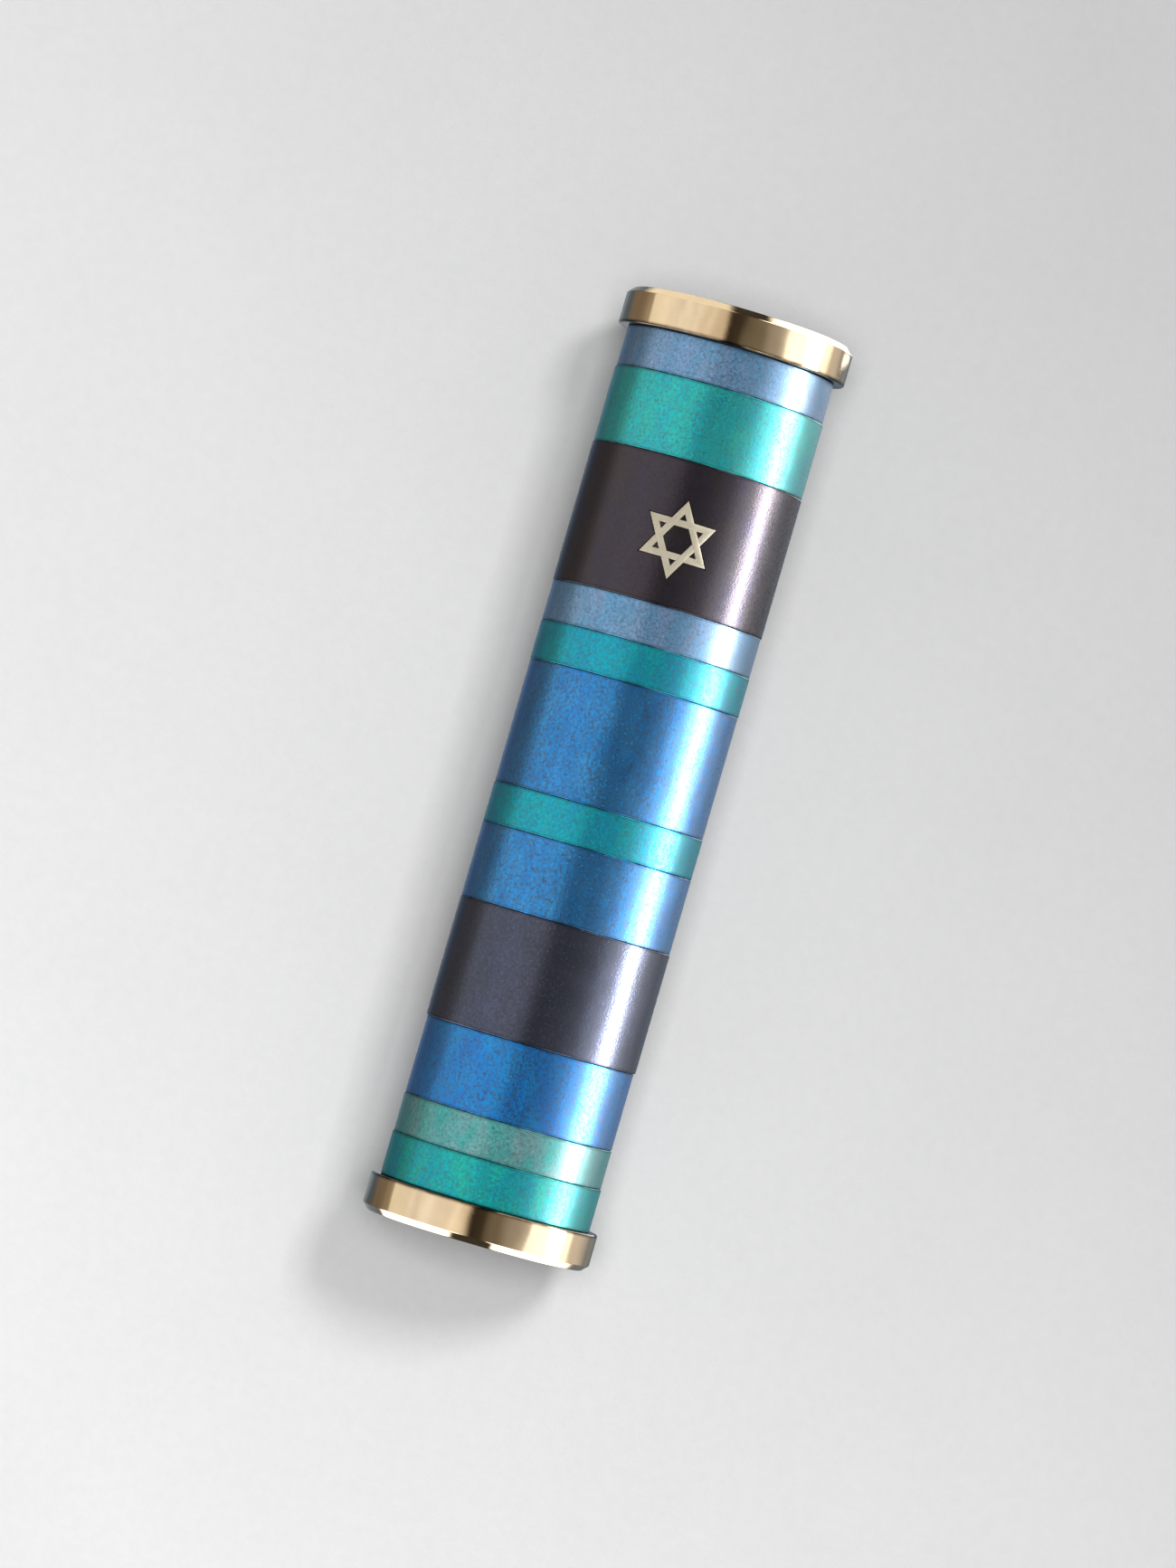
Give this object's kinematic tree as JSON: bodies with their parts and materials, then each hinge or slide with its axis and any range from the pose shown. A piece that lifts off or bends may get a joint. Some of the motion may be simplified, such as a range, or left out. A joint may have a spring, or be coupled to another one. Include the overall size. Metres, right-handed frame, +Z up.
{
  "type": "mezuzah case",
  "caption": "Round mezuzah case of stacked satin anodised rings in blues and greens between polished gold end caps, with a star emblem and an adhesive back; holds a rolled parchment.",
  "frame": {"origin": "centre of the adhesive strip's outer face, on the door post's surface", "axes": "+Z up along the case as it hangs, +Y out of the back into the door post, -Y out of the front, +X to the right seen from the front"},
  "size_m": [0.0294, 0.0275, 0.12],
  "materials": {
    "polished_gold": "polished, pale gold",
    "anodised_sky_blue": "satin, bead-blasted, anodised",
    "anodised_teal": "satin, bead-blasted, anodised",
    "anodised_charcoal": "satin, bead-blasted, anodised",
    "anodised_turquoise": "satin, bead-blasted, anodised",
    "anodised_cobalt": "satin, bead-blasted, anodised",
    "anodised_slate": "satin, bead-blasted, anodised",
    "anodised_royal_blue": "satin, bead-blasted, anodised",
    "anodised_pale_aqua": "satin, bead-blasted, anodised",
    "anodised_sea_green": "satin, bead-blasted, anodised",
    "emblem_silver": "matte, warm silver",
    "plain_aluminium": "turned",
    "black_rubber": "matte",
    "foam_tape": "matte foam with a paper liner",
    "parchment": "matte, translucent, slightly mottled"
  },
  "bodies": {
    "case": {"bottom_cap": "polished_gold", "core_tube": "plain_aluminium", "bottom_o_ring": "black_rubber", "ring_01_sky_blue": "anodised_sky_blue", "ring_02_teal": "anodised_teal", "ring_03_charcoal": "anodised_charcoal", "ring_04_sky_blue": "anodised_sky_blue", "ring_05_turquoise": "anodised_turquoise", "ring_06_cobalt": "anodised_cobalt", "ring_07_turquoise": "anodised_turquoise", "ring_08_cobalt": "anodised_cobalt", "ring_09_slate": "anodised_slate", "ring_10_royal_blue": "anodised_royal_blue", "ring_11_pale_aqua": "anodised_pale_aqua", "ring_12_sea_green": "anodised_sea_green", "emblem_star": "emblem_silver", "adhesive_strip": "foam_tape"},
    "cap": {"top_cap": "polished_gold", "top_o_ring": "black_rubber"},
    "scroll": {"parchment_scroll": "parchment"}
  },
  "joints": [
    {"name": "cap_lift", "type": "slide", "parent": "case", "child": "cap", "axis": [0, 0, 1], "range_m": [0, 0.036]},
    {"name": "scroll_lift", "type": "slide", "parent": "case", "child": "scroll", "axis": [0, 0, 1], "range_m": [0, 0.027]}
  ],
  "couplings": [
    {"joint": "scroll_lift", "follows": "cap_lift", "ratio": 0.75}
  ]
}
